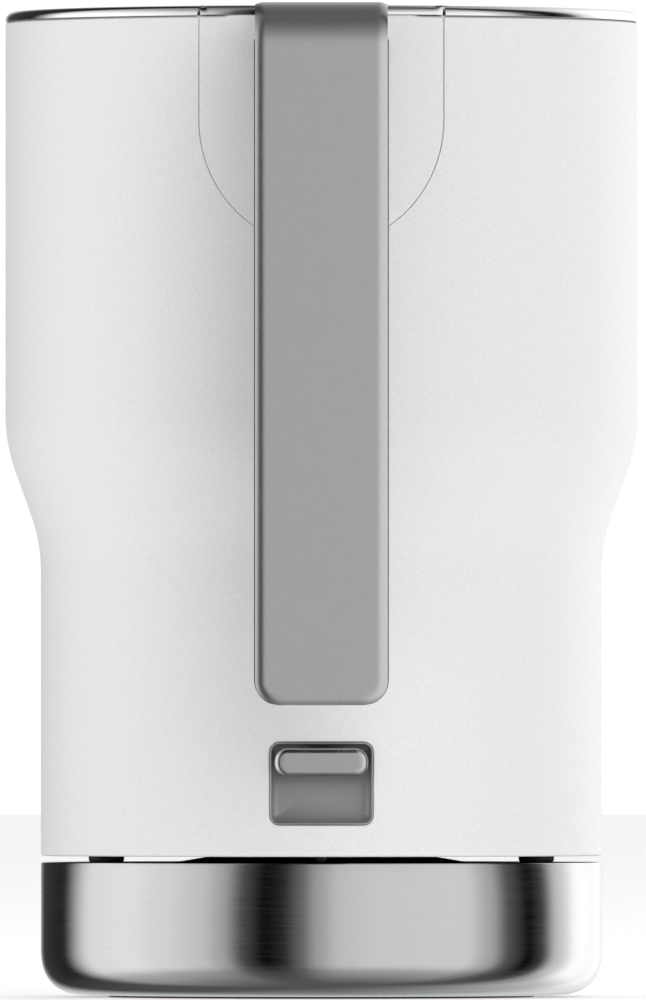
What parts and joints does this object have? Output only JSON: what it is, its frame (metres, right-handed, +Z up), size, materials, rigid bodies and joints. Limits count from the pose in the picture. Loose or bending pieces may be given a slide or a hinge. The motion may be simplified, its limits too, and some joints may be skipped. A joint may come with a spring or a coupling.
{
  "type": "electric kettle",
  "caption": "Cordless electric kettle: white double-walled jug with a waist, satin strap handle open at the bottom, hinged lid, pouring beak and switch in a pocket, on a round steel power base.",
  "frame": {"origin": "centre of the base's underside on the worktop, on the jug's axis", "axes": "+Z up, +Y towards the pouring beak, handle at -Y, +X to the right of someone who faces the handle"},
  "size_m": [0.1572, 0.2194, 0.245],
  "materials": {
    "white_shell": "fine-grained matte white",
    "bright_rim": "polished",
    "base_steel": "fine brushed round the base",
    "satin_grip": "satin grey",
    "vessel_steel": "deep-drawn, lightly brushed",
    "strip_steel": "plain",
    "switch_metal": "satin",
    "black_plastic": "fine matte",
    "grey_plastic": "fine matte",
    "clear_plastic": "smooth",
    "rubber_black": "matte",
    "silicone": "matte translucent grey",
    "brass_contact": "bright",
    "aluminium_plate": "as cast",
    "ceramic_white": "moulded terminal resin",
    "bimetal": "dull",
    "lead_sleeve": "insulated flex cores"
  },
  "bodies": {
    "power_base": {"base_shell": "base_steel", "base_deck": "black_plastic", "base_underside": "black_plastic", "base_foot": "rubber_black", "base_screws": "strip_steel", "connector_boss": "black_plastic", "connector_pin": "brass_contact", "connector_rings": "brass_contact", "terminal_block": "ceramic_white", "terminal_screws": "strip_steel", "base_leads": "lead_sleeve", "cord_gland": "rubber_black"},
    "jug": {"outer_shell": "white_shell", "handle_panel": "white_shell", "inner_vessel": "vessel_steel", "rim_gasket": "silicone", "top_ring": "bright_rim", "spout_liner": "vessel_steel", "vessel_cradle": "grey_plastic", "handle_cap": "bright_rim", "handle_mount": "grey_plastic", "handle_outer": "satin_grip", "handle_inner": "black_plastic", "handle_bracket": "strip_steel", "hinge_bracket": "grey_plastic", "handle_screws": "strip_steel", "hinge_pin": "strip_steel", "lid_spring": "strip_steel", "button_spring": "strip_steel", "jug_floor": "grey_plastic", "jug_feet": "rubber_black", "drain_spout": "grey_plastic", "floor_screws": "strip_steel", "diffuser_plate": "aluminium_plate", "heating_element": "strip_steel", "element_tails": "brass_contact", "control_housing": "black_plastic", "control_screws": "strip_steel", "cordless_socket": "black_plastic", "socket_contacts": "brass_contact", "dry_boil_discs": "bimetal", "steam_disc": "bimetal", "steam_tube": "clear_plastic", "steam_elbow": "silicone", "trip_spring": "strip_steel", "switch_pocket": "switch_metal", "switch_pin": "strip_steel"},
    "lid": {"lid_cap": "bright_rim", "lid_frame": "grey_plastic", "lid_liner": "vessel_steel", "lid_seal": "silicone", "lid_screws": "strip_steel"},
    "filter": {"filter_frame": "grey_plastic", "filter_mesh": "vessel_steel"},
    "button": {"release_button": "satin_grip"},
    "latch": {"latch_slider": "grey_plastic"},
    "switch": {"switch_paddle": "switch_metal", "switch_arm": "grey_plastic"},
    "trip": {"trip_rocker": "grey_plastic"}
  },
  "joints": [
    {"name": "jug_lift", "type": "slide", "parent": "power_base", "child": "jug", "axis": [0, 0, 1], "range_m": [0, 0.06]},
    {"name": "lid_hinge", "type": "hinge", "parent": "jug", "child": "lid", "pos_m": [0, -0.063, 0.2401], "axis": [1, 0, 0], "range_deg": [0, 80]},
    {"name": "button_press", "type": "slide", "parent": "jug", "child": "button", "axis": [0, 0, -1], "range_m": [0, 0.0025], "stiffness_N_per_m": 600, "springref_m": -0.003, "deforming": ["button_spring"]},
    {"name": "latch_slide", "type": "slide", "parent": "jug", "child": "latch", "axis": [0, -1, 0], "range_m": [0, 0.0025]},
    {"name": "switch_rock", "type": "hinge", "parent": "jug", "child": "switch", "pos_m": [0, -0.052, 0.0585], "axis": [1, 0, 0], "range_deg": [0, 12]},
    {"name": "trip_rock", "type": "hinge", "parent": "jug", "child": "trip", "pos_m": [0, -0.034, 0.061], "axis": [1, 0, 0], "range_deg": [-10.8, 0]},
    {"name": "filter_slide", "type": "slide", "parent": "jug", "child": "filter", "axis": [0, -1, 0], "range_m": [0, 0.025]}
  ],
  "couplings": [
    {"joint": "latch_slide", "follows": "button_press", "ratio": 1},
    {"joint": "trip_rock", "follows": "switch_rock", "ratio": -0.9}
  ]
}
